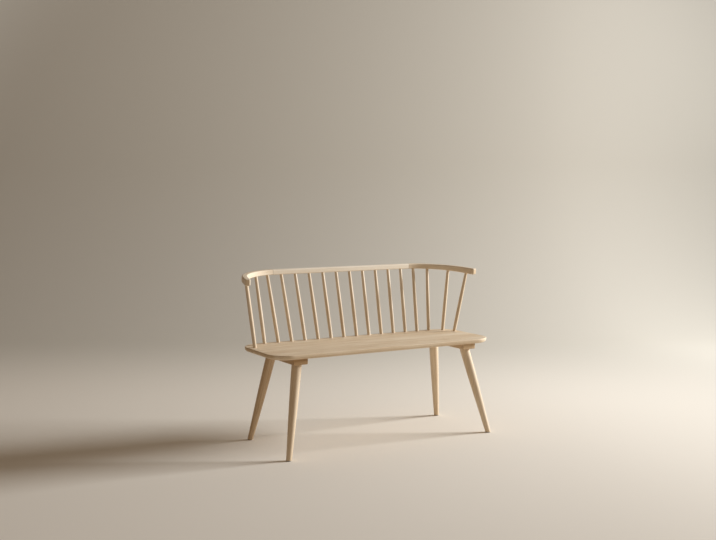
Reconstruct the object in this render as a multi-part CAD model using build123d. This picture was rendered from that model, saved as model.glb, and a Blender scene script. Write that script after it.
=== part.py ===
from build123d import *
import math
import os

# Low-back dining bench in solid pale wood, all sizes in millimetres.
# X runs along the bench, Y from front to back, Z up, and the floor is Z = 0.
# The bench is drawn about the middle of its seat, then moved so that the
# origin is on the floor under the middle of the whole bench.

# Seat plank, glued up from staves that run along the bench
seat_height = 450
seat_length = 1156
seat_depth = 397
seat_thickness = 22
seat_corner_radius = 90
seat_top_round = 3
seat_edge_upright = 3
stave_count = 5

# Battens under the seat, from front to back, one near each end
batten_width = 70
batten_thickness = 26
batten_from_seat_end = 130.5
batten_from_seat_front = 20
batten_from_seat_back = 22
batten_corner_radius = 3.5
batten_chamfer = 2.5

# Turned legs, splayed both ways; their diameters are evenly spaced from top to floor
leg_from_batten_front = 41
leg_from_batten_back = 51
front_leg_splay_x = 82.5
front_leg_splay_y = 87
back_leg_splay_x = 74.5
back_leg_splay_y = 79
leg_diameters = [44.5, 43, 39.5, 35, 30, 25]
leg_tenon_diameter = 25
leg_tenon_root = 40
wood_over_leg_tenon = 13

# Glides under the legs, each with a pin
glide_inset = 2.5
glide_thickness = 3
glide_edge = 0.75
glide_pin_diameter = 3
glide_pin_length = 14

# Screws that hold each batten to the seat
screw_spread_x = 38
screw_spread_y = 120
screw_diameter = 4.5
screw_head_diameter = 9
screw_head_sink = 1
screw_slot_width = 1.4
screw_slot_length = 5
screw_slot_depth = 2
wood_over_screw = 7

# Top rail: a straight middle and two bent arms, in a plane that dips to the front
rail_above_seat = 323
rail_behind_seat = 62
rail_dip = 4.6
rail_height = 24
rail_width = 26
rail_round = 5
joint_from_seat_end = 200
joint_turn = 5
arm_radius = 246
arm_bend = 75.5
arm_straight = 72
arm_end_height = 30
arm_end_round = 7

# Dowels across the two rail joints
dowel_diameter = 6
dowel_length = 32
dowel_spacing = 12

# Spindles, the same on each side of the middle: a row along the back edge, then those of the arm.
# The heads of the row are spaced up to the rail joint, and the last of them are past it, in the bend.
row_foot_from_seat_end = 123
row_foot_from_back = 17
middle_heads = 5
middle_head_before_joint = 45
bend_heads_past_joint = [29, 103]
arm_feet_from_seat_end = [59, 32]
arm_feet_from_back = [48.5, 111.5]
arm_head_from_end = 52.5
spindle_foot_diameter = 16
spindle_belly_diameter = 17.5
spindle_belly_height = 98
spindle_neck_diameter = 16.4
spindle_neck_height = 203
spindle_head_diameter = 14.2
spindle_straight = 4
spindle_past_rail_middle = 2
wood_under_spindle = 7

# Glue lines round the joints and spare depth in drilled holes
glue_gap = 0.1
drill_gap = 0.5

sides = {"left": -1, "right": 1}
seat_under = seat_height - seat_thickness
seat_under_round = seat_thickness - seat_top_round - seat_edge_upright
batten_under = seat_under - batten_thickness
batten_x = seat_length / 2 - batten_from_seat_end
batten_front = batten_from_seat_front - seat_depth / 2
batten_back = seat_depth / 2 - batten_from_seat_back
batten_middle = (batten_front + batten_back) / 2
rail_joint_x = seat_length / 2 - joint_from_seat_end
upright = (Align.CENTER, Align.CENTER, Align.MIN)


def unit_line(start, end):
    """Direction from one point to another."""
    return (end - start).normalized()


def on_line(start, end, shape):
    """A shape drawn up the Z axis, stood at a start point and leaning towards an end point."""
    return Plane(origin=start, z_dir=end - start) * shape


def rod(start, end, diameter):
    """Round bar between two points."""
    return on_line(start, end, Cylinder(diameter / 2, (end - start).length, align=upright))


# Legs: a foot point on the floor and a top point under the batten for each
front_top_y = batten_front + leg_from_batten_front
back_top_y = batten_back - leg_from_batten_back
leg_places = {
    "front": (front_top_y, front_top_y - front_leg_splay_y, front_leg_splay_x),
    "back": (back_top_y, back_top_y + back_leg_splay_y, back_leg_splay_x),
}
leg_lines = {}
for side, sx in sides.items():
    for end, (top_y, foot_y, splay_x) in leg_places.items():
        foot = Vector(sx * (batten_x + splay_x), foot_y, 0)
        leg_lines[f"{end}_{side}"] = (foot, Vector(sx * batten_x, top_y, batten_under))


def leg_tenon(foot, top, gap=0.0, spare=0.0):
    """Round tenon on top of a leg, or the hole for it when a gap and a spare depth are given."""
    slant = (top - foot).length / batten_under
    reach = (batten_thickness + seat_thickness - wood_over_leg_tenon) * slant
    along = unit_line(foot, top)
    return rod(top - along * leg_tenon_root, top + along * (reach + spare), leg_tenon_diameter + 2 * gap)


def leg_solid(foot, top):
    """Leg turned about its own line, cut level at both ends, with its tenon."""
    length = (top - foot).length
    step = length / (len(leg_diameters) - 1)
    profile = [(diameter / 2, length - i * step) for i, diameter in enumerate(leg_diameters)]
    top_radius, foot_radius = profile[0][0], profile[-1][0]
    lowest = -leg_diameters[-1]
    highest = length + leg_diameters[0]
    outline = Polyline(
        profile[-1],
        (foot_radius, lowest),
        (0, lowest),
        (0, highest),
        (top_radius, highest),
        profile[0],
    )
    turned = revolve(Plane.XZ * make_face([Spline(*profile), outline]), Axis.Z)
    body = on_line(foot, top, turned)
    body = split(body, Plane.XY.offset(batten_under), keep=Keep.BOTTOM)
    body = split(body, Plane.XY.offset(glide_thickness), keep=Keep.TOP)
    return body + leg_tenon(foot, top)


# Rail: its middle line runs straight to the joint, turns a little there, goes round the bend,
# then runs straight to the arm's end
rail_plane = Plane(
    origin=(0, seat_depth / 2 + rail_behind_seat, seat_height + rail_above_seat),
    x_dir=(1, 0, 0),
    z_dir=(0, -math.sin(math.radians(rail_dip)), math.cos(math.radians(rail_dip))),
)
bend_length = math.radians(arm_bend - joint_turn) * arm_radius
bend_centre_x = rail_joint_x - arm_radius * math.sin(math.radians(joint_turn))
bend_centre_w = -arm_radius * math.cos(math.radians(joint_turn))


def arm_point(across, bend, along=0.0):
    """Point on the plan of the right arm: across its middle line, at some bend and then some straight."""
    turn = math.radians(bend)
    radius = arm_radius + across
    return (
        bend_centre_x + radius * math.sin(turn) + along * math.cos(turn),
        bend_centre_w + radius * math.cos(turn) - along * math.sin(turn),
    )


def rail_point(distance):
    """Point on the rail's middle line at a distance along it from the middle of the bench."""
    past_joint = distance - rail_joint_x
    if past_joint <= 0:
        return rail_plane.from_local_coords((distance, 0, 0))
    past_bend = max(past_joint - bend_length, 0)
    bend = joint_turn + math.degrees((past_joint - past_bend) / arm_radius)
    return rail_plane.from_local_coords((*arm_point(0, bend, past_bend), 0))


# Spindles: a foot point on the seat and a head point in the rail for each, from left to right
row_spindles = middle_heads + len(bend_heads_past_joint)
foot_pitch = (seat_length / 2 - row_foot_from_seat_end) / (row_spindles - 0.5)
right_feet = [((i + 0.5) * foot_pitch, seat_depth / 2 - row_foot_from_back) for i in range(row_spindles)]
head_pitch = (rail_joint_x - middle_head_before_joint) / (middle_heads - 0.5)
head_distances = [(i + 0.5) * head_pitch for i in range(middle_heads)]
head_distances += [rail_joint_x + past_joint for past_joint in bend_heads_past_joint]
row_end = head_distances[-1]
arm_end = rail_joint_x + bend_length + arm_straight
arm_pitch = (arm_end - arm_head_from_end - row_end) / len(arm_feet_from_seat_end)
for i, (from_end, from_back) in enumerate(zip(arm_feet_from_seat_end, arm_feet_from_back)):
    right_feet.append((seat_length / 2 - from_end, seat_depth / 2 - from_back))
    head_distances.append(row_end + (i + 1) * arm_pitch)
spindle_lines = []
for (x, y), distance in zip(right_feet, head_distances):
    head = rail_point(distance)
    spindle_lines.append((Vector(x, y, seat_height), head))
    spindle_lines.insert(0, (Vector(-x, y, seat_height), Vector(-head.X, head.Y, head.Z)))


def spindle_ends(foot, head):
    """How far a spindle goes into the seat and into the lower half of the rail, along its own line."""
    slant = (head - foot).length / (head.Z - foot.Z)
    return (seat_thickness - wood_under_spindle) * slant, rail_height / 2 * slant


def spindle_solid(foot, head):
    """Spindle turned about its own line, straight where it enters the seat and the rail."""
    in_seat, in_rail = spindle_ends(foot, head)
    length = (head - foot).length
    neck_end = length - in_rail - spindle_straight
    highest = length + spindle_past_rail_middle
    turned_side = Spline(
        (spindle_foot_diameter / 2, spindle_straight),
        (spindle_belly_diameter / 2, spindle_belly_height),
        (spindle_neck_diameter / 2, spindle_neck_height),
        (spindle_head_diameter / 2, neck_end),
    )
    outline = Polyline(
        (spindle_head_diameter / 2, neck_end),
        (spindle_head_diameter / 2, highest),
        (0, highest),
        (0, -in_seat),
        (spindle_foot_diameter / 2, -in_seat),
        (spindle_foot_diameter / 2, spindle_straight),
    )
    return on_line(foot, head, revolve(Plane.XZ * make_face([turned_side, outline]), Axis.Z))


# Screws: a place on the underside of the batten for each
screw_places = []
for sx in sides.values():
    for dx in (-screw_spread_x / 2, screw_spread_x / 2):
        for dy in (-screw_spread_y / 2, screw_spread_y / 2):
            screw_places.append(Pos(sx * batten_x + dx, batten_middle + dy, batten_under + screw_head_sink))


def screw_blank(gap=0.0):
    """Countersunk head and shank pointing up, grown by a gap to make a hole."""
    head_height = (screw_head_diameter - screw_diameter) / 2
    length = seat_height - wood_over_screw - batten_under - screw_head_sink
    head = Cone(screw_head_diameter / 2 + gap, screw_diameter / 2 + gap, head_height, align=upright)
    return head + Cylinder(screw_diameter / 2 + gap, length + gap, align=upright)


# Holes for the legs, spindles, screws and dowels
leg_holes = [leg_tenon(foot, top, glue_gap, drill_gap) for foot, top in leg_lines.values()]
mouth = Pos(0, 0, -screw_head_sink) * Cylinder(
    screw_head_diameter / 2 + glue_gap, screw_head_sink, align=upright
)
screw_holes = [place * (screw_blank(glue_gap) + mouth) for place in screw_places]
seat_sockets = []
rail_sockets = []
for foot, head in spindle_lines:
    in_seat, in_rail = spindle_ends(foot, head)
    along = unit_line(foot, head)
    seat_sockets.append(
        rod(
            foot - along * (in_seat + drill_gap),
            foot + along * spindle_foot_diameter,
            spindle_foot_diameter + 2 * glue_gap,
        )
    )
    rail_sockets.append(
        rod(
            head - along * (in_rail + spindle_head_diameter),
            head + along * (spindle_past_rail_middle + drill_gap),
            spindle_head_diameter + 2 * glue_gap,
        )
    )
dowels = []
dowel_holes = []
for sx in sides.values():
    for w in (-dowel_spacing / 2, dowel_spacing / 2):
        joint = rail_plane.from_local_coords((sx * rail_joint_x, w, 0))
        half_dowel = Vector(dowel_length / 2, 0, 0)
        half_hole = half_dowel + Vector(drill_gap, 0, 0)
        dowels.append(rod(joint - half_dowel, joint + half_dowel, dowel_diameter))
        dowel_holes.append(rod(joint - half_hole, joint + half_hole, dowel_diameter + 2 * glue_gap))

nodes = {}

# Seat: one rounded plank with every hole, sawn into staves along the glue lines
plank = extrude(RectangleRounded(seat_length, seat_depth, seat_corner_radius), seat_thickness)
plank = Pos(0, 0, seat_under) * plank
plank = fillet(plank.faces().sort_by(Axis.Z)[-1].edges(), seat_top_round)
plank = fillet(plank.faces().sort_by(Axis.Z)[0].edges(), seat_under_round)
plank = plank - leg_holes - seat_sockets - screw_holes
stave_width = seat_depth / stave_count
for i in range(stave_count):
    stave_y = seat_depth / 2 - (i + 0.5) * stave_width
    stave_block = Pos(0, stave_y, seat_under) * Box(seat_length, stave_width, seat_thickness, align=upright)
    nodes[f"seat_stave_{i + 1}"] = plank & stave_block

# Battens and their screws
for side, sx in sides.items():
    batten_plan = RectangleRounded(batten_width, batten_back - batten_front, batten_corner_radius)
    batten = Pos(sx * batten_x, batten_middle, batten_under) * extrude(batten_plan, batten_thickness)
    batten = chamfer(batten.faces().sort_by(Axis.Z)[0].edges(), batten_chamfer)
    nodes[f"batten_{side}"] = batten - leg_holes - screw_holes
screw = screw_blank()
for turn in (0, 90):
    screw -= Rot(0, 0, turn) * Box(screw_slot_length, screw_slot_width, screw_slot_depth, align=upright)
nodes["batten_screws"] = Compound(children=[place * screw for place in screw_places])

# Legs and their glides
glides = []
glide_radius = leg_diameters[-1] / 2 - glide_inset
glide = chamfer(
    Cylinder(glide_radius, glide_thickness, align=upright).faces().sort_by(Axis.Z)[0].edges(), glide_edge
)
glide += Pos(0, 0, glide_thickness) * Cylinder(glide_pin_diameter / 2, glide_pin_length, align=upright)
pin_hole = Cylinder(
    glide_pin_diameter / 2 + glue_gap, glide_thickness + glide_pin_length + drill_gap, align=upright
)
for name, (foot, top) in leg_lines.items():
    sole = foot + (top - foot) * (glide_thickness / batten_under)
    spot = Pos(sole.X, sole.Y, 0)
    glides.append(spot * glide)
    nodes[f"leg_{name}"] = leg_solid(foot, top) - spot * pin_hole
nodes["foot_glides"] = Compound(children=glides)

# Spindles, numbered from the left end of the bench
for i, (foot, head) in enumerate(spindle_lines):
    nodes[f"spindle_{i + 1:02d}"] = spindle_solid(foot, head)

# Straight middle of the rail and the dowels in its ends
middle = rail_plane * Box(2 * rail_joint_x, rail_width, rail_height)
middle = fillet(middle.edges().filter_by(Axis.X), rail_round)
nodes["rail_middle"] = middle - rail_sockets - dowel_holes
nodes["rail_dowels"] = Compound(children=dowels)

# Bent arms: a curved strip, sawn off at the joint, that grows a little taller towards its end
half = rail_width / 2
arm_plan = make_face(
    [
        ThreePointArc(arm_point(half, 0), arm_point(half, arm_bend / 2), arm_point(half, arm_bend)),
        Line(arm_point(half, arm_bend), arm_point(half, arm_bend, arm_straight)),
        Line(arm_point(half, arm_bend, arm_straight), arm_point(-half, arm_bend, arm_straight)),
        Line(arm_point(-half, arm_bend, arm_straight), arm_point(-half, arm_bend)),
        ThreePointArc(arm_point(-half, arm_bend), arm_point(-half, arm_bend / 2), arm_point(-half, 0)),
        Line(arm_point(-half, 0), arm_point(half, 0)),
    ]
)
strip = extrude(arm_plan, arm_end_height, both=True)
strip = split(strip, Plane.YZ.offset(rail_joint_x), keep=Keep.TOP)
strip = fillet(strip.edges().filter_by(Axis.Z).sort_by(Axis.Y)[:2], arm_end_round)
arm_tip_w = arm_point(-half, arm_bend, arm_straight)[1]
arm_taper = (rail_height - arm_end_height) / arm_tip_w
arm_back_height = rail_height - arm_taper * rail_width
side_view = make_face(
    Polyline(
        (rail_width, arm_back_height / 2),
        (rail_width, -arm_back_height / 2),
        (arm_tip_w, -arm_end_height / 2),
        (arm_tip_w, arm_end_height / 2),
        close=True,
    )
)
arm = strip & extrude(Plane.YZ * side_view, seat_length)
by_height = arm.faces().sort_by(Axis.Z)
joint_edges = arm.faces().sort_by(Axis.X)[0].edges()
long_edges = [edge for edge in by_height[0].edges() + by_height[-1].edges() if edge not in joint_edges]
arm = rail_plane * fillet(long_edges, rail_round)
nodes["rail_arm_left"] = mirror(arm, Plane.YZ) - rail_sockets - dowel_holes
nodes["rail_arm_right"] = arm - rail_sockets - dowel_holes

# Put the origin on the floor under the middle of the bench and write the pieces
boxes = [shape.bounding_box() for shape in nodes.values()]
middle_y = (min(box.min.Y for box in boxes) + max(box.max.Y for box in boxes)) / 2
os.makedirs("parts", exist_ok=True)
for name, shape in nodes.items():
    export_step(Pos(0, -middle_y, 0) * shape, f"parts/{name}.step")
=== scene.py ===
import math

import bmesh
import bpy
import numpy as np
from mathutils import Euler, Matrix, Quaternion, Vector


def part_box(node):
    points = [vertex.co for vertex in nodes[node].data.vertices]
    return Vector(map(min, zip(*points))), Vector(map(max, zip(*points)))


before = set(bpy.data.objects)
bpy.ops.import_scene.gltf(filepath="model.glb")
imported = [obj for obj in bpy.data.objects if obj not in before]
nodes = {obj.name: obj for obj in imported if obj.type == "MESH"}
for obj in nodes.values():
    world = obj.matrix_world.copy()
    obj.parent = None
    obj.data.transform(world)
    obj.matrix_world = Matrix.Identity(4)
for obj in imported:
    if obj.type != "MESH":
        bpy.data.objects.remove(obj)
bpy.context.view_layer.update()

# Seat: five boards of blond birch, planed, edge-glued into one plank and rounded at the rim.
# The boards are turned heart side up and down by turns, so each shows its own figure.
# The whole plank is sanded and sprayed with a clear matt lacquer.


def linear(hex_colour):
    """An sRGB hex colour as the linear RGBA that the shaders take."""
    channels = [int(hex_colour[i:i + 2], 16) / 255 for i in (1, 3, 5)]
    curve = [c / 12.92 if c <= 0.04045 else ((c + 0.055) / 1.055) ** 2.4 for c in channels]
    return (*curve, 1.0)


def add(tree, kind, inputs, **settings):
    """A shader node with its settings, each input a number, a colour or another node's socket."""
    node = tree.nodes.new("ShaderNode" + kind)
    for name, value in settings.items():
        setattr(node, name, value)
    for name, value in inputs.items():
        if isinstance(value, bpy.types.NodeSocket):
            tree.links.new(value, node.inputs[name])
        else:
            node.inputs[name].default_value = value
    return node


def end_facing(tree, end_axis):
    """How squarely a surface faces along the grain, so that it shows end grain."""
    slanted_cosine = 0.75
    square_cosine = 0.98
    normal = add(tree, "TexCoord", {}).outputs["Normal"]
    facing = add(tree, "VectorMath", {0: normal, 1: end_axis}, operation="DOT_PRODUCT").outputs["Value"]
    facing = add(tree, "Math", {0: facing}, operation="ABSOLUTE").outputs[0]
    limits = {"Value": facing, "From Min": slanted_cosine, "From Max": square_cosine}
    return add(tree, "MapRange", limits, interpolation_type="SMOOTHSTEP").outputs[0]


def straight_grain(centre, axis, roll, start):
    """Grain that runs straight along a piece, cut from its board at a start.
    Gives the place in the board, and where end grain shows."""
    turn = axis.to_track_quat("X", "Z") @ Quaternion((1, 0, 0), roll)
    place = centre - axis * start

    def grain(tree):
        where = add(tree, "TexCoord", {}).outputs["Object"]
        mapping = {"Vector": where, "Location": place, "Rotation": turn.to_euler()}
        board = add(tree, "Mapping", mapping, vector_type="TEXTURE").outputs[0]
        return board, end_facing(tree, axis)

    return grain


def joint_line(tree, axis, places, width):
    """Thin line where a piece is glued to its neighbours, at these places along an axis."""
    where = add(tree, "TexCoord", {}).outputs["Object"]
    along = add(tree, "VectorMath", {0: where, 1: axis}, operation="DOT_PRODUCT").outputs["Value"]
    line = None
    for place in places:
        off = add(tree, "Math", {0: along, 1: place}, operation="SUBTRACT").outputs[0]
        off = add(tree, "Math", {0: off}, operation="ABSOLUTE").outputs[0]
        limits = {"Value": off, "From Min": width / 4, "From Max": width / 2, "To Min": 1.0, "To Max": 0.0}
        near = add(tree, "MapRange", limits).outputs[0]
        line = near if line is None else add(tree, "Math", {0: line, 1: near}, operation="MAXIMUM").outputs[0]
    return line


def lacquered_birch(name, grain, pith, shade, joints=None):
    """Birch under clear matt lacquer: cream wood, faint growth rings, silky fibres, short dark pores.
    The rings lie round the pith, given across and through the board, so the ends show their arcs.
    Joints are the axis, places, width and depth of glue lines."""
    ring_spacing = 0.0045
    ring_wander = 0.014
    ring_taper = 0.011
    late_line = 0.86
    waves_in_a_metre = (1.6, 9, 9)
    fibres_in_a_metre = (10, 650, 650)
    patches_in_a_metre = (4, 30, 30)
    pores_in_a_metre = (120, 2400, 2400)
    dullness = 0.5
    fibre_dullness = 0.14
    pore_depth = 0.7
    material = bpy.data.materials.new(name)
    material.use_nodes = True
    tree = material.node_tree
    shader = tree.nodes["Principled BSDF"]
    board, end = grain(tree)

    # Growth rings, pale early wood that darkens to a thin late line, drawn into arches as the stem tapers
    stretched = add(tree, "VectorMath", {0: board, 1: waves_in_a_metre}, operation="MULTIPLY").outputs[0]
    wander = add(tree, "TexNoise", {"Vector": stretched, "Scale": 1.0, "Detail": 2.0}).outputs["Fac"]
    across = add(tree, "VectorMath", {0: board, 1: (0, 1, 1)}, operation="MULTIPLY").outputs[0]
    radius = add(tree, "VectorMath", {0: across, 1: pith}, operation="DISTANCE").outputs["Value"]
    radius = add(tree, "Math", {0: wander, 1: ring_wander, 2: radius}, operation="MULTIPLY_ADD").outputs[0]
    length = add(tree, "SeparateXYZ", {0: board}).outputs["X"]
    radius = add(tree, "Math", {0: length, 1: ring_taper, 2: radius}, operation="MULTIPLY_ADD").outputs[0]
    rings = add(tree, "Math", {0: radius, 1: 1 / ring_spacing}, operation="MULTIPLY").outputs[0]
    ring = add(tree, "Math", {0: rings}, operation="FRACT").outputs[0]
    ring_tone = add(tree, "ValToRGB", {"Fac": ring})
    ring_ramp = ring_tone.color_ramp.elements
    ring_ramp[0].color = (0, 0, 0, 1)
    ring_ramp[1].color = (0, 0, 0, 1)
    late = ring_ramp.new(late_line)
    late.color = (1, 1, 1, 1)
    middle = ring_ramp.new(0.5)
    middle.color = (0.22, 0.22, 0.22, 1)

    # Streaks of fibre 100 by 1.5 mm, soft patches, and pores 8 by 0.4 mm, drawn coarse so that they show
    fine = add(tree, "VectorMath", {0: board, 1: fibres_in_a_metre}, operation="MULTIPLY").outputs[0]
    fibre = add(tree, "TexNoise", {"Vector": fine, "Scale": 1.0, "Detail": 3.0}).outputs["Fac"]
    broad = add(tree, "VectorMath", {0: board, 1: patches_in_a_metre}, operation="MULTIPLY").outputs[0]
    patch = add(tree, "TexNoise", {"Vector": broad, "Scale": 1.0, "Detail": 3.0}).outputs["Fac"]
    short = add(tree, "VectorMath", {0: board, 1: pores_in_a_metre}, operation="MULTIPLY").outputs[0]
    pores = add(tree, "TexNoise", {"Vector": short, "Scale": 1.0, "Detail": 0.0}).outputs["Fac"]
    pore_limits = {"Value": pores, "From Min": 0.62, "From Max": 0.74}
    pore = add(tree, "MapRange", pore_limits, interpolation_type="SMOOTHSTEP").outputs[0]

    # All of it as one tone, from pale to dark, each detail with its own share
    tone = shade
    for detail, share in ((ring_tone.outputs[0], 0.25), (fibre, 0.4), (patch, 0.6), (pore, 0.16)):
        tone = add(tree, "Math", {0: detail, 1: share, 2: tone}, operation="MULTIPLY_ADD").outputs[0]
    colour = add(tree, "ValToRGB", {"Fac": tone})
    wood_ramp = colour.color_ramp.elements
    wood_ramp[0].position = 0.05
    wood_ramp[0].color = linear("#F0E3CE")
    wood_ramp[1].position = 1.0
    wood_ramp[1].color = linear("#BA9A74")
    body = wood_ramp.new(0.58)
    body.color = linear("#D8C09F")

    # Ends of the grain drink more lacquer and look darker
    ends = {0: end, 6: colour.outputs[0], 7: linear("#F2EADC")}
    wood = add(tree, "Mix", ends, data_type="RGBA", blend_type="MULTIPLY").outputs[2]
    if joints:
        axis, places, width, depth = joints
        line = joint_line(tree, axis, places, width)
        line = add(tree, "Math", {0: line, 1: depth}, operation="MULTIPLY").outputs[0]
        seam = {0: line, 6: wood, 7: linear("#5A4630")}
        wood = add(tree, "Mix", seam, data_type="RGBA", blend_type="MIX").outputs[2]
    tree.links.new(wood, shader.inputs["Base Color"])

    # Soft sheen, a little duller along the fibres, with the pores just felt through the lacquer
    sheen = {0: fibre, 1: fibre_dullness, 2: dullness}
    rough = add(tree, "Math", sheen, operation="MULTIPLY_ADD").outputs[0]
    tree.links.new(rough, shader.inputs["Roughness"])
    relief = add(tree, "Math", {0: pore, 1: -pore_depth, 2: fibre}, operation="MULTIPLY_ADD").outputs[0]
    bump = add(tree, "Bump", {"Height": relief, "Strength": 0.1, "Distance": 0.0002})
    tree.links.new(bump.outputs[0], shader.inputs["Normal"])
    shader.inputs["IOR"].default_value = 1.5
    shader.inputs["Specular IOR Level"].default_value = 0.3
    return material


def finish_with(node, material):
    """Gives a CAD piece its material."""
    for slot in nodes[node].material_slots:
        slot.material = material


def middle_of(node):
    """Middle of a CAD piece's box."""
    low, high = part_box(node)
    return (low + high) / 2


along_bench = Vector((1, 0, 0))
across_bench = Vector((0, 1, 0))
stave_shades = (-0.09, -0.02, -0.12, -0.04, -0.07)
stave_fronts = [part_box(f"seat_stave_{i + 1}")[0].y for i in range(len(stave_shades))]
glue_line_width = 0.0006
glue_line_depth = 0.5
glue_lines = (across_bench, stave_fronts[:-1], glue_line_width, glue_line_depth)
heart_above = 0.075
heart_below = -0.085
heart_shift = 0.012
middle_stave = len(stave_shades) // 2
for i, shade in enumerate(stave_shades):
    stave = f"seat_stave_{i + 1}"
    heart = (0, heart_shift * (i - middle_stave), heart_above if i % 2 else heart_below)
    grain = straight_grain(middle_of(stave), along_bench, roll=0.0, start=1.7 * i)
    finish_with(stave, lacquered_birch(f"lacquered birch, board {i + 1}", grain, heart, shade, glue_lines))

# Battens: two flat birch boards screwed across the underside near the ends.
# They keep the plank flat and give the legs a deep socket.
batten_pith = (0, 0.03, 0.09)
# Painted shade: the left batten is much darker, standing in for the shade under the seat's overhang.
batten_tones_with_painted_shade = {"left": 0.6, "right": 0.1}
for i, (side, shade) in enumerate(batten_tones_with_painted_shade.items()):
    batten = f"batten_{side}"
    grain = straight_grain(middle_of(batten), across_bench, roll=0.0, start=10 + i)
    finish_with(batten, lacquered_birch(f"lacquered birch, {side} batten", grain, batten_pith, shade))

# Screws: eight countersunk steel screws, zinc plated, driven up through the battens.
# Plating is smooth and faintly yellow-grey, in clouds about 1 mm across.
clouds_in_a_metre = 900.0
plating_roughness = 0.25
cloud_roughness = 0.2
plated = bpy.data.materials.new("zinc plated steel")
plated.use_nodes = True
tree = plated.node_tree
shader = tree.nodes["Principled BSDF"]
where = add(tree, "TexCoord", {}).outputs["Object"]
cloud = add(tree, "TexNoise", {"Vector": where, "Scale": clouds_in_a_metre, "Detail": 2.0}).outputs["Fac"]
colour = add(tree, "Mix", {0: cloud, 6: linear("#8E8F8C"), 7: linear("#B9BAB4")}, data_type="RGBA").outputs[2]
tree.links.new(colour, shader.inputs["Base Color"])
sheen = {0: cloud, 1: cloud_roughness, 2: plating_roughness}
rough = add(tree, "Math", sheen, operation="MULTIPLY_ADD").outputs[0]
tree.links.new(rough, shader.inputs["Roughness"])
shader.inputs["Metallic"].default_value = 1.0
finish_with("batten_screws", plated)

# Legs: four birch legs turned on a lathe, splayed both ways, with a tenon through the batten.
# The grain runs up each leg along its own line.


def long_line(node):
    """Middle and long direction of a slim piece, from its own points."""
    points = np.array([vertex.co for vertex in nodes[node].data.vertices])
    directions = np.linalg.eigh(np.cov(points.T))[1]
    axis = Vector(directions[:, -1])
    return middle_of(node), axis if axis.z > 0 else -axis


leg_pith = (0, 0.05, 0.06)
# Painted light and shade: the back left leg is darker, as shade under the seat, and the front right and back
# right legs are paler, as painted light on their shaded sides.
leg_tones_with_painted_light_and_shade = {"front_left": -0.03, "front_right": -0.1, "back_left": 0.25, "back_right": -0.14}
for i, (place, shade) in enumerate(leg_tones_with_painted_light_and_shade.items()):
    leg = f"leg_{place}"
    centre, axis = long_line(leg)
    grain = straight_grain(centre, axis, roll=1.3 * i, start=20 + 1.1 * i)
    finish_with(leg, lacquered_birch(f"lacquered birch, {leg}", grain, leg_pith, shade))

# Glides: four round nylon discs pressed into the feet on a pin.
# Moulded dark grey, with a fine matt texture.
grit_size = 0.0004
nylon = bpy.data.materials.new("moulded nylon")
nylon.use_nodes = True
tree = nylon.node_tree
shader = tree.nodes["Principled BSDF"]
where = add(tree, "TexCoord", {}).outputs["Object"]
grit = add(tree, "TexNoise", {"Vector": where, "Scale": 1 / grit_size, "Detail": 1.0}).outputs["Fac"]
colour = add(tree, "Mix", {0: grit, 6: linear("#2E2B28"), 7: linear("#3A3733")}, data_type="RGBA").outputs[2]
tree.links.new(colour, shader.inputs["Base Color"])
bump = add(tree, "Bump", {"Height": grit, "Strength": 0.3, "Distance": 0.0002})
tree.links.new(bump.outputs[0], shader.inputs["Normal"])
shader.inputs["Roughness"].default_value = 0.6
finish_with("foot_glides", nylon)

# Spindles: eighteen thin turned birch rods, swelling a little above the seat, glued at both ends.
# Each is split from its own billet, so tone and figure change from one to the next.
spindle_count = 18
spindle_pith = (0, 0.03, 0.05)
spindle_shade = -0.15
shade_swing = 0.05
shade_step = 2.4
for i in range(spindle_count):
    spindle = f"spindle_{i + 1:02d}"
    centre, axis = long_line(spindle)
    grain = straight_grain(centre, axis, roll=0.9 * i, start=30 + 0.8 * i)
    shade = shade_swing * math.sin(shade_step * i) + spindle_shade
    finish_with(spindle, lacquered_birch(f"lacquered birch, {spindle}", grain, spindle_pith, shade))

# Rail: a straight middle piece, dowelled at both ends to the bent arms.
# It is birch with rounded edges, lacquered with the rest.
# The joint line is 0.3 mm wide in truth and drawn wider, so that it shows.
rail_middle = middle_of("rail_middle")
rail_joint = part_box("rail_middle")[1].x
rail_line_width = 0.0024
rail_line_depth = 0.6
rail_joints = (along_bench, (-rail_joint, rail_joint), rail_line_width, rail_line_depth)
rail_pith = (0, 0.04, -0.08)
# Painted light: the rail is much paler than the other pieces, for the brighter light on its front.
rail_tone_with_painted_light = -0.48
grain = straight_grain(rail_middle, along_bench, roll=0.0, start=50)
rail = lacquered_birch("lacquered birch, rail", grain, rail_pith, rail_tone_with_painted_light, rail_joints)
finish_with("rail_middle", rail)

# Arms: steam-bent birch, so the grain follows the bend and then runs straight to the tip.
# The rail lies in a plane that dips to the front, and meets each arm at a small angle.
arm_radius = 0.246
arm_bend = math.radians(75.5)
arm_straight = 0.072
arm_tip_round = 0.007
joint_turn = math.radians(5)
rail_dip = math.radians(4.6)


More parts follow.
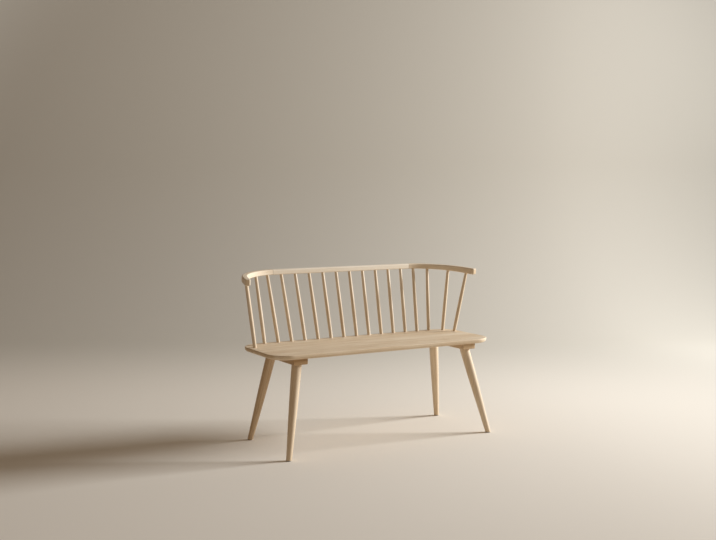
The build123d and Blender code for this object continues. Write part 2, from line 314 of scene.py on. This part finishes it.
def bent_grain(side, start):
    """Grain that follows an arm, cut from its board at a start.
    Gives the place in the board before it was bent, and where end grain shows, at the tip."""
    to_back = Vector((0, math.cos(rail_dip), math.sin(rail_dip)))
    bend_centre = rail_middle - to_back * arm_radius * math.cos(joint_turn)
    bend_centre.x = side * (rail_joint - arm_radius * math.sin(joint_turn))
    run = Vector((math.cos(arm_bend), -math.sin(arm_bend), 0))
    tip_axis = Vector((side * run.x, 0, 0)) + to_back * run.y
    tip_start = arm_straight - arm_tip_round

    def grain(tree):
        where = add(tree, "TexCoord", {}).outputs["Object"]
        mapping = {
            "Vector": where,
            "Location": bend_centre,
            "Rotation": (rail_dip, 0, 0),
            "Scale": (side, 1, 1),
        }
        plan = add(tree, "Mapping", mapping, vector_type="TEXTURE").outputs[0]
        past = add(tree, "VectorMath", {0: plan, 1: run}, operation="DOT_PRODUCT").outputs["Value"]
        past = add(tree, "Math", {0: past, 1: 0.0}, operation="MAXIMUM").outputs[0]
        back = add(tree, "VectorMath", {0: -run, "Scale": past}, operation="SCALE").outputs[0]
        bend = add(tree, "VectorMath", {0: plan, 1: back}, operation="ADD").outputs[0]
        part = add(tree, "SeparateXYZ", {0: bend}).outputs
        turn = add(tree, "Math", {0: part["X"], 1: part["Y"]}, operation="ARCTAN2").outputs[0]
        along = add(tree, "Math", {0: turn, 1: arm_radius, 2: past}, operation="MULTIPLY_ADD").outputs[0]
        along = add(tree, "Math", {0: along, 1: start}, operation="ADD").outputs[0]
        flat = add(tree, "VectorMath", {0: bend, 1: (1, 1, 0)}, operation="MULTIPLY").outputs[0]
        reach = add(tree, "VectorMath", {0: flat}, operation="LENGTH").outputs["Value"]
        across = add(tree, "Math", {0: reach, 1: arm_radius}, operation="SUBTRACT").outputs[0]
        board = add(tree, "CombineXYZ", {"X": along, "Y": across, "Z": part["Z"]}).outputs[0]
        at_tip = add(tree, "Math", {0: past, 1: tip_start}, operation="GREATER_THAN").outputs[0]
        end = end_facing(tree, tip_axis)
        return board, add(tree, "Math", {0: end, 1: at_tip}, operation="MULTIPLY").outputs[0]

    return grain


for side, sign, shade in (("left", -1, -0.22), ("right", 1, -0.2)):
    grain = bent_grain(sign, start=55 + sign)
    arm = lacquered_birch(f"lacquered birch, {side} arm", grain, rail_pith, shade, rail_joints)
    finish_with(f"rail_arm_{side}", arm)

# Dowels: four short birch pegs glued across the rail joints, hidden inside.
# They are bare wood straight from the moulder, dull and dry, with fibres about 17 by 1 mm.
fibres_in_a_metre = (60, 900, 900)
peg = bpy.data.materials.new("bare birch")
peg.use_nodes = True
tree = peg.node_tree
shader = tree.nodes["Principled BSDF"]
where = add(tree, "TexCoord", {}).outputs["Object"]
fine = add(tree, "VectorMath", {0: where, 1: fibres_in_a_metre}, operation="MULTIPLY").outputs[0]
fibre = add(tree, "TexNoise", {"Vector": fine, "Scale": 1.0, "Detail": 2.0}).outputs["Fac"]
colour = add(tree, "Mix", {0: fibre, 6: linear("#E2CFB2"), 7: linear("#C7AB84")}, data_type="RGBA").outputs[2]
tree.links.new(colour, shader.inputs["Base Color"])
shader.inputs["Roughness"].default_value = 0.75
finish_with("rail_dowels", peg)

# Floor and backdrop: one wide sheet of pale paper, out over the floor and up behind the bench.
# It is painted a little greyer towards the wall, and darker near the lamp, where more light falls: both are
# painted shade.
# Far from the bench it fades into the pale surround, so that no edge of it shows.
view_turn = math.radians(-29.738)
lamp_bearing = math.radians(14.3)
paper_half_width = 12.0
paper_front = -14.0
paper_bend_start = 3.0
paper_bend_radius = 1.4
paper_top = 6.0
wall_painted_shade_start = 0.6
haze_start = 5.6
haze_end = 7.2
sheet = bmesh.new()
paper_sides = (-paper_half_width, paper_half_width)
edge = sheet.edges.new([sheet.verts.new((x, paper_front, 0)) for x in paper_sides])
made = bmesh.ops.extrude_edge_only(sheet, edges=[edge])["geom"]
corners = [g for g in made if isinstance(g, bmesh.types.BMVert)]
bmesh.ops.translate(sheet, verts=corners, vec=(0, paper_bend_start - paper_front, 0))
edge = [g for g in made if isinstance(g, bmesh.types.BMEdge)]
bend_centre = (0, paper_bend_start, paper_bend_radius)
made = bmesh.ops.spin(
    sheet, geom=edge, cent=bend_centre, axis=(1, 0, 0), angle=math.pi / 2, steps=24, use_merge=False
)["geom_last"]
edge = [g for g in made if isinstance(g, bmesh.types.BMEdge)]
made = bmesh.ops.extrude_edge_only(sheet, edges=edge)["geom"]
corners = [g for g in made if isinstance(g, bmesh.types.BMVert)]
bmesh.ops.translate(sheet, verts=corners, vec=(0, 0, paper_top - paper_bend_radius))
bmesh.ops.rotate(sheet, verts=sheet.verts, cent=(0, 0, 0), matrix=Euler((0, 0, view_turn)).to_matrix())
bmesh.ops.recalc_face_normals(sheet, faces=sheet.faces)
for face in sheet.faces:
    face.smooth = True
paper_mesh = bpy.data.meshes.new("paper")
sheet.to_mesh(paper_mesh)
sheet.free()
paper = bpy.data.objects.new("paper", paper_mesh)
bpy.context.scene.collection.objects.link(paper)
card = bpy.data.materials.new("pale paper")
card.use_nodes = True
tree = card.node_tree
shader = tree.nodes["Principled BSDF"]
where = add(tree, "TexCoord", {}).outputs["Object"]
to_wall = Vector((-math.sin(view_turn), math.cos(view_turn), 0))
depth = add(tree, "VectorMath", {0: where, 1: to_wall}, operation="DOT_PRODUCT").outputs["Value"]
# Painted shade that greys the paper towards the wall
wall_limits = {"Value": depth, "From Min": wall_painted_shade_start, "From Max": paper_bend_start}
behind = add(tree, "MapRange", wall_limits, interpolation_type="SMOOTHSTEP").outputs[0]
to_lamp = Vector((math.cos(lamp_bearing), -math.sin(lamp_bearing), 0))
lamp_side = add(tree, "VectorMath", {0: where, 1: to_lamp}, operation="DOT_PRODUCT").outputs["Value"]


def paper_with_painted_shade(start, end, pale, dark):
    """Paper colour with painted shade, from pale to dark between two distances towards the lamp."""
    limits = {"Value": lamp_side, "From Min": start, "From Max": end}
    share = add(tree, "MapRange", limits, interpolation_type="SMOOTHSTEP").outputs[0]
    return add(tree, "Mix", {0: share, 6: linear(pale), 7: linear(dark)}, data_type="RGBA").outputs[2]


# Painted shade: the paper darkens towards the lamp, and is greyer up the wall.
floor_with_painted_shade = paper_with_painted_shade(start=1.0, end=4.6, pale="#E8DFD1", dark="#857F75")
wall_with_painted_shade = paper_with_painted_shade(start=2.8, end=5.0, pale="#CCC5B8", dark="#9C968B")
paper_colour_with_painted_shade = add(tree, "Mix", {0: behind, 6: floor_with_painted_shade, 7: wall_with_painted_shade}, data_type="RGBA").outputs[2]
tree.links.new(paper_colour_with_painted_shade, shader.inputs["Base Color"])
shader.inputs["Roughness"].default_value = 0.9
shader.inputs["Specular IOR Level"].default_value = 0.0


def seen_by_camera(tree):
    """Whether a ray comes from the camera, straight or by way of something shiny or clear."""
    ray = add(tree, "LightPath", {}).outputs
    by_way_of = {0: ray["Is Glossy Ray"], 1: ray["Is Transmission Ray"]}
    shiny = add(tree, "Math", by_way_of, operation="MAXIMUM").outputs[0]
    return add(tree, "Math", {0: ray["Is Camera Ray"], 1: shiny}, operation="MAXIMUM").outputs[0]


surround_colour = linear("#B9B1A5")
away = add(tree, "VectorMath", {0: where}, operation="LENGTH").outputs["Value"]
haze_limits = {"Value": away, "From Min": haze_start, "From Max": haze_end}
far = add(tree, "MapRange", haze_limits, interpolation_type="SMOOTHSTEP").outputs[0]
haze_share = add(tree, "Math", {0: far, 1: seen_by_camera(tree)}, operation="MULTIPLY").outputs[0]
haze = add(tree, "Emission", {"Color": surround_colour, "Strength": 1.0}).outputs[0]
faded = add(tree, "MixShader", {0: haze_share, 1: shader.outputs[0], 2: haze}).outputs[0]
tree.links.new(faded, tree.nodes["Material Output"].inputs["Surface"])
paper_mesh.materials.append(card)

# Light: one wide soft lamp to the right and a little in front, and an even warm surround.
# The lamp is aimed over the bench, so that the floor near it doesn't go white.
# Seen past the paper or in a shiny surface, the surround is as pale as the paper.
lamp_distance = 7.0
lamp_height = 2.9
lamp_aim_height = 1.6
lamp_data = bpy.data.lights.new("wide lamp", "AREA")
lamp_data.shape = "RECTANGLE"
lamp_data.size = 2.7
lamp_data.size_y = 1.05
lamp_data.spread = math.radians(150)
lamp_data.energy = 665.0
lamp_data.color = linear("#F4F9FF")[:3]
lamp = bpy.data.objects.new("wide lamp", lamp_data)
lamp.location = (
    lamp_distance * math.cos(lamp_bearing),
    -lamp_distance * math.sin(lamp_bearing),
    lamp_height,
)
lamp.rotation_euler = (Vector((0, 0, lamp_aim_height)) - lamp.location).to_track_quat("-Z", "Y").to_euler()
bpy.context.scene.collection.objects.link(lamp)
surround = bpy.data.worlds.new("surround")
surround.use_nodes = True
tree = surround.node_tree
glow = tree.nodes["Background"]
glow.inputs["Color"].default_value = linear("#FFE4C8")
glow.inputs["Strength"].default_value = 0.2
backing = add(tree, "Background", {"Color": surround_colour, "Strength": 1.0})
sky = add(tree, "MixShader", {0: seen_by_camera(tree), 1: glow.outputs[0], 2: backing.outputs[0]})
tree.links.new(sky.outputs[0], tree.nodes["World Output"].inputs["Surface"])
bpy.context.scene.world = surround

# Camera at the photograph's place, with its field of view for a picture 716 pixels wide
picture_width = 716
focal_pixels = 1026.8
camera_pitch = math.radians(4.515)
camera_data = bpy.data.cameras.new("camera")
camera_data.sensor_width = 36.0
camera_data.lens = focal_pixels / picture_width * camera_data.sensor_width
camera = bpy.data.objects.new("camera", camera_data)
camera.location = (-2.4171, -4.1435, 1.1629)
camera.rotation_euler = (math.pi / 2 - camera_pitch, 0, view_turn)
bpy.context.scene.collection.objects.link(camera)
bpy.context.scene.camera = camera
bpy.context.scene.view_settings.view_transform = "Standard"
